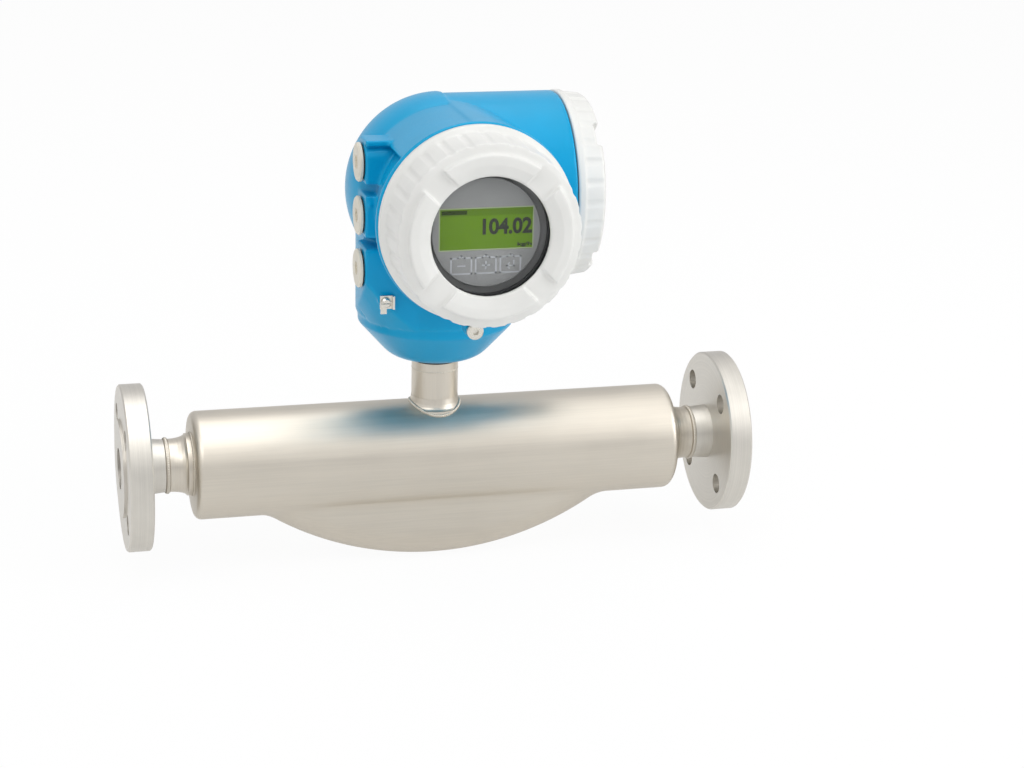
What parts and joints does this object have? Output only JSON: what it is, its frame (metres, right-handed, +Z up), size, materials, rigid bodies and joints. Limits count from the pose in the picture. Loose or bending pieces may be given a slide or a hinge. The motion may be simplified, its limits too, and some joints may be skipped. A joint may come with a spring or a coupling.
{
  "type": "coriolis flow meter",
  "caption": "Flanged pipe section with a bellied steel casing over twin measuring tubes, and a turnable transmitter with display and connection covers on a neck.",
  "frame": {"origin": "centre of the inlet flange's sealing face, on the pipe axis", "axes": "+X along the flow to the outlet, +Y to the back, away from the display, +Z up along the neck"},
  "size_m": [0.44, 0.2083, 0.3309],
  "materials": {
    "steel_satin": "brushed, satin",
    "steel_turned": "turned, bright",
    "blue_paint": "powder coat, satin",
    "light_grey_paint": "powder coat, satin",
    "copper": "enamelled wire",
    "black_plastic": "matte",
    "black_rubber": "matte",
    "board_green": "solder mask",
    "beige_plastic": "matte",
    "fascia_grey": "matte",
    "display_green": "glossy",
    "clear_glass": "polished",
    "terminal_green": "matte"
  },
  "bodies": {
    "sensor_body": {"inlet_flange": "steel_turned", "outlet_flange": "steel_turned", "inlet_manifold": "steel_satin", "outlet_manifold": "steel_satin", "measuring_tube_front": "steel_satin", "measuring_tube_rear": "steel_satin", "inlet_brace_plates": "steel_satin", "outlet_brace_plates": "steel_satin", "drive_coil": "copper", "drive_magnet": "steel_turned", "inlet_pickoff_coil": "copper", "inlet_pickoff_magnet": "steel_turned", "outlet_pickoff_coil": "copper", "outlet_pickoff_magnet": "steel_turned", "temperature_sensor": "beige_plastic", "sensor_harness": "black_plastic", "casing_tube": "steel_satin", "casing_belly": "steel_satin", "inlet_end_cap": "steel_satin", "outlet_end_cap": "steel_satin", "neck_tube": "steel_satin", "neck_weld_collar": "steel_satin", "feedthrough": "beige_plastic", "neck_head": "steel_turned", "neck_seal": "black_rubber"},
    "transmitter_body": {"housing": "blue_paint", "swivel_lock_screw": "steel_turned", "entry_plug_upper": "beige_plastic", "entry_plug_middle": "beige_plastic", "entry_plug_lower": "beige_plastic", "entry_seals": "black_rubber", "ground_clamp": "steel_turned", "ground_screw": "steel_turned", "display_cover_lock": "steel_turned", "connection_cover_lock": "steel_turned", "electronics_carrier": "black_plastic", "main_board": "board_green", "power_board": "board_green", "terminal_plate": "black_plastic", "terminal_block": "terminal_green", "terminal_screws": "steel_turned"},
    "display_body": {"display_holder": "fascia_grey", "display_panel": "display_green"},
    "display_seal_body": {"display_cover_seal": "black_rubber"},
    "display_cover_body": {"display_cover": "light_grey_paint", "display_window": "clear_glass", "window_gasket": "black_rubber", "window_ring": "black_plastic"},
    "connection_seal_body": {"connection_cover_seal": "black_rubber"},
    "connection_cover_body": {"connection_cover": "light_grey_paint"}
  },
  "joints": [
    {"name": "housing_turn", "type": "hinge", "parent": "sensor_body", "child": "transmitter_body", "pos_m": [0.22, 0, 0.0705], "axis": [0, 0, 1], "range_deg": [-175, 175]},
    {"name": "display_module_turn", "type": "hinge", "parent": "transmitter_body", "child": "display_body", "pos_m": [0.222, -0.1, 0.189], "axis": [0, -1, 0], "range_deg": [-180, 180]},
    {"name": "display_cover_travel", "type": "slide", "parent": "transmitter_body", "child": "display_seal_body", "axis": [0, -1, 0], "range_m": [0, 0.012]},
    {"name": "display_cover_turn", "type": "hinge", "parent": "display_seal_body", "child": "display_cover_body", "pos_m": [0.222, -0.104, 0.189], "axis": [0, -1, 0], "range_deg": [0, 2160]},
    {"name": "connection_cover_travel", "type": "slide", "parent": "transmitter_body", "child": "connection_seal_body", "axis": [1, 0, 0], "range_m": [0, 0.012]},
    {"name": "connection_cover_turn", "type": "hinge", "parent": "connection_seal_body", "child": "connection_cover_body", "pos_m": [0.301, -0.003, 0.189], "axis": [1, 0, 0], "range_deg": [0, 2160]}
  ],
  "couplings": [
    {"joint": "display_cover_travel", "follows": "display_cover_turn", "m_per_rad": 0.00031831},
    {"joint": "connection_cover_travel", "follows": "connection_cover_turn", "m_per_rad": 0.00031831}
  ]
}
